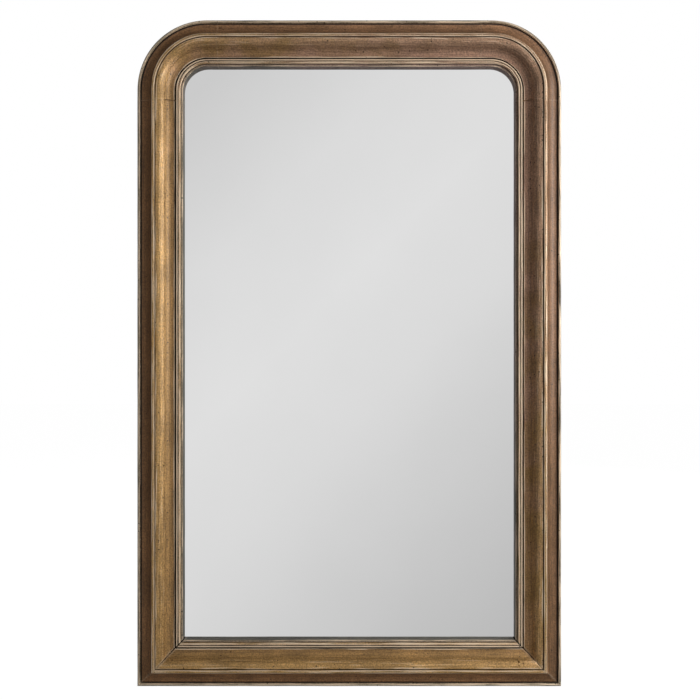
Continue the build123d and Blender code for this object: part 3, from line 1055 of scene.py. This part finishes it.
def finish_moulding(piece, name, along=None):
    """Takes a bare length to its finished surface and puts it in the place of the node of this name."""
    open_joints(piece, along)
    if name in WORM_HOLES:
        bore_worm_holes(piece, WORM_HOLES[name])
    mark_surface(piece)
    paint_faces(piece)
    uneven_ground(piece)
    pick(piece)
    bpy.ops.object.shade_smooth_by_angle(angle=SMOOTH_ANGLE)
    apply_modifier(piece, "WEIGHTED_NORMAL", keep_sharp=True)
    piece.data.materials.append(gilding())
    piece.data.materials.append(bare_wood())
    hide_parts(name)
    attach(piece, "frame")


def put_finish(nodes, finish):
    """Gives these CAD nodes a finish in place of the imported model's plain one."""
    for name in nodes:
        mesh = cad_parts[name].data
        mesh.materials.clear()
        mesh.materials.append(finish)


def nodes_named(word):
    return sorted(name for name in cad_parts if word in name)


class MIRROR_OT_moulding(bpy.types.Operator):
    """Makes the two stiles and the two rails of the gilded moulding."""

    bl_idname = "mirror.moulding"
    bl_label = "Moulding"

    def execute(self, context):
        left_foot = Vector((FRAME_LEFT, FRAME_BACK, FRAME_BOTTOM))
        right_foot = Vector((FRAME_RIGHT, FRAME_BACK, FRAME_BOTTOM))
        top_start = Vector((TOP_RAIL_START, FRAME_BACK, FRAME_TOP))
        left_cut = (RIGHT + DOWN).normalized()
        right_cut = (LEFT + DOWN).normalized()
        stile = STILE_TOP - FRAME_BOTTOM
        width = FRAME_RIGHT - FRAME_LEFT
        for name, start, inward, along, reach, cuts in (
            ("left_stile", left_foot, RIGHT, UP, stile, [(left_foot, left_cut)]),
            ("right_stile", right_foot, LEFT, UP, stile, [(right_foot, right_cut)]),
            ("bottom_rail", left_foot, UP, RIGHT, width, [(left_foot, -left_cut), (right_foot, -right_cut)]),
            ("top_rail", top_start, DOWN, RIGHT, -2 * TOP_RAIL_START, []),
        ):
            piece = straight_length(f"{name}_moulding", start, inward, along, reach)
            for corner, outwards in cuts:
                cut_mitre(piece, corner, outwards)
            finish_moulding(piece, name, along)
        return {"FINISHED"}


class MIRROR_OT_corners(bpy.types.Operator):
    """Makes the two round upper corners of the moulding."""

    bl_idname = "mirror.corners"
    bl_label = "Round Corners"

    def execute(self, context):
        for word, side in (("left", -1), ("right", 1)):
            piece = corner_length(f"{word}_corner_moulding", side)
            finish_moulding(piece, f"{word}_corner_block")
        return {"FINISHED"}


class MIRROR_OT_panel(bpy.types.Operator):
    """Finishes the mirror plate, the packing sheet behind it, the board and the setting blocks."""

    bl_idname = "mirror.panel"
    bl_label = "Mirror Plate and Board"

    def execute(self, context):
        put_finish(["mirror_plate"], mirror_glass())
        put_finish(["packing_sheet"], card())
        put_finish(["backing_board"], fibreboard())
        put_finish(["setting_blocks", "corner_dowels", "mitre_biscuits"], beech())
        return {"FINISHED"}


class MIRROR_OT_fittings(bpy.types.Operator):
    """Finishes the turn buttons, plates, hangers, screws and bumpers of the back."""

    bl_idname = "mirror.fittings"
    bl_label = "Back Fittings"

    def execute(self, context):
        buttons = [name for name in nodes_named("turn_button") if name != "turn_button_screws"]
        put_finish(buttons, blued_steel())
        put_finish(nodes_named("screws") + nodes_named("corner_plate") + nodes_named("hanger"), zinc_steel())
        put_finish(["wall_bumpers"], rubber())
        return {"FINISHED"}


@cache
def pale_floor():
    """A pale floor that the camera sees as white, with a little of the object's shadow left in it."""
    material, tree, shader = new_material("pale_floor")
    shader.inputs["Base Color"].default_value = (0.6, 0.6, 0.6, 1)
    shader.inputs["Roughness"].default_value = 0.8
    glow, glow_in_gloss = 1.1, 0.2
    seen = seen_ray(tree)
    ray = node(tree, "LightPath", {}).outputs
    strength = maths(tree, "MULTIPLY_ADD", ray["Is Glossy Ray"], glow_in_gloss - glow, glow)
    white = node(tree, "Emission", {"Color": (1, 1, 1), "Strength": strength}).outputs[0]
    mixed = node(tree, "MixShader", {0: times(tree, seen, 0.9), 1: shader.outputs[0], 2: white})
    output = next(made for made in tree.nodes if made.bl_idname == "ShaderNodeOutputMaterial")
    feed(tree, output.inputs["Surface"], mixed.outputs[0])
    return material


def seen_ray(tree):
    """1 for a ray from the camera, or one that gloss or glass sends on."""
    ray = node(tree, "LightPath", {}).outputs
    gloss = maths(tree, "MAXIMUM", ray["Is Glossy Ray"], ray["Is Transmission Ray"])
    return maths(tree, "MAXIMUM", ray["Is Camera Ray"], gloss)


# The slope of the grey that the mirror shows, by direction, its tones along it, the darker sides, and
# how far ahead a direction points where the sides give way to the slope
MIRROR_SLOPE = (0.7, 0.0, -0.7)
MIRROR_TONES = ((0.2, 0.645), (0.33, 0.763), (0.445, 0.8), (0.56, 0.753), (0.66, 0.667), (0.825, 0.527))
SIDE_TONE = (0.17, 0.17, 0.17)
AHEAD = (0.7, 0.93)


def studio_world(size):
    """White to the camera, a soft grey slope to what reflects it, and a weak even light."""
    world = bpy.data.worlds.new("studio")
    bpy.context.scene.world = world
    world.use_nodes = True
    tree = world.node_tree
    tree.nodes.clear()
    ray = node(tree, "LightPath", {}).outputs
    facing = node(tree, "TexCoord", {}).outputs["Generated"]
    slope = node(tree, "VectorMath", {0: facing, 1: MIRROR_SLOPE}, operation="DOT_PRODUCT").outputs["Value"]
    ahead = node(tree, "VectorMath", {0: facing, 1: FORWARD}, operation="DOT_PRODUCT").outputs["Value"]
    tones = [(place, (tone, tone, tone)) for place, tone in MIRROR_TONES]
    grey = colour_ramp(tree, maths(tree, "ADD", slope, 0.5), tones)
    grey = blend(tree, between(tree, ahead, *AHEAD), SIDE_TONE, grey)
    shown = blend(tree, ray["Is Glossy Ray"], (1, 1, 1), grey)
    seen = seen_ray(tree)
    strength = maths(tree, "MULTIPLY_ADD", seen, 1 - size.ambient, size.ambient)
    background = node(tree, "Background", {"Color": shown, "Strength": strength})
    node(tree, "OutputWorld", {"Surface": background.outputs[0]})


def soft_light(name, place, aim, width, height, power):
    """A rectangular area light that faces its aim."""
    deselect()
    bpy.ops.object.light_add(type="AREA", location=place)
    light = bpy.context.object
    light.name = name
    light.data.shape = "RECTANGLE"
    light.data.size = width
    light.data.size_y = height
    light.data.energy = power
    light.rotation_euler = (Vector(aim) - Vector(place)).to_track_quat("-Z", "Y").to_euler()
    return light


def add_floor():
    """A large floor behind and under the frame that starts a little in front of it."""
    deselect()
    middle = FRAME_FRONT - FLOOR_IN_FRONT + FLOOR_SIZE / 2
    bpy.ops.mesh.primitive_plane_add(size=FLOOR_SIZE, location=(0, middle, FRAME_BOTTOM - FLOOR_DROP))
    floor = bpy.context.object
    floor.name = "floor"
    floor.data.materials.append(pale_floor())
    bpy.ops.object.transform_apply(location=True, rotation=False, scale=False)


def add_lights(size):
    """A window at the right, a weak fill at the camera and a window behind for the back."""
    front = Vector((0, FRAME_FRONT, FRAME_MIDDLE))
    back = Vector((0, FRAME_BACK, FRAME_MIDDLE))
    soft_light("window", (1.55, -1.0, 0.1), front, 0.7, 1.1, size.window_power)
    fill = soft_light("fill", (-0.2, -2.6, -0.6), front, 2.2, 2.2, size.fill_power)
    fill.visible_glossy = False
    soft_light("back_window", (1.2, 2.2, 0.6), back, 1.6, 2.0, size.back_power)


def add_camera(size):
    """A level camera that sees the frame where the photograph shows it, and as large."""
    deselect()
    metres_a_pixel = (FRAME_RIGHT - FRAME_LEFT) / size.photo_width
    x = (PHOTO_PIXELS / 2 - size.photo_centre[0]) * metres_a_pixel
    z = FRAME_MIDDLE + (size.photo_centre[1] - PHOTO_PIXELS / 2) * metres_a_pixel
    edge_front = FRAME_BACK - moulding_sizes().edge_height + moulding_sizes().edge_bead_width / 2
    place = (x, edge_front - size.camera_distance, z)
    bpy.ops.object.camera_add(location=place, rotation=(math.pi / 2, 0, 0))
    camera = bpy.context.object
    camera.data.sensor_width = SENSOR_WIDTH
    camera.data.lens = SENSOR_WIDTH * size.camera_distance / (metres_a_pixel * PHOTO_PIXELS)
    camera.data.dof.use_dof = False
    bpy.context.scene.camera = camera


class MIRROR_OT_stage(bpy.types.Operator):
    """Adds the floor, the camera, the lights and the pale surroundings."""

    bl_idname = "mirror.stage"
    bl_label = "Studio"

    def execute(self, context):
        size = context.scene.mirror_studio
        add_floor()
        studio_world(size)
        add_lights(size)
        add_camera(size)
        context.scene.view_settings.view_transform = "Standard"
        return {"FINISHED"}


class MIRROR_PT_panel(bpy.types.Panel):
    """Lists the mirror's pieces and sizes in the sidebar."""

    bl_label = "Overmantel Mirror"
    bl_idname = "MIRROR_PT_panel"
    bl_space_type = "VIEW_3D"
    bl_region_type = "UI"
    bl_category = "Mirror"

    def draw(self, context):
        for operator in OPERATORS:
            self.layout.operator(operator.bl_idname)
        for group, name in SETTINGS:
            box = self.layout.box()
            box.label(text=group.__name__)
            for prop in group.__annotations__:
                box.prop(getattr(context.scene, name), prop)


OPERATORS = (
    MIRROR_OT_moulding,
    MIRROR_OT_corners,
    MIRROR_OT_panel,
    MIRROR_OT_fittings,
    MIRROR_OT_stage,
)
SETTINGS = (
    (MirrorMoulding, "mirror_moulding"),
    (MirrorFinish, "mirror_finish"),
    (MirrorStudio, "mirror_studio"),
)


def register():
    for group, name in SETTINGS:
        bpy.utils.register_class(group)
        setattr(bpy.types.Scene, name, PointerProperty(type=group))
    for operator in OPERATORS:
        bpy.utils.register_class(operator)
    bpy.utils.register_class(MIRROR_PT_panel)


def unregister():
    bpy.utils.unregister_class(MIRROR_PT_panel)
    for operator in reversed(OPERATORS):
        bpy.utils.unregister_class(operator)
    for group, name in reversed(SETTINGS):
        delattr(bpy.types.Scene, name)
        bpy.utils.unregister_class(group)


def main():
    register()
    bpy.ops.mirror.moulding()
    bpy.ops.mirror.corners()
    bpy.ops.mirror.panel()
    bpy.ops.mirror.fittings()
    bpy.ops.mirror.stage()


if __name__ == "__main__":
    main()
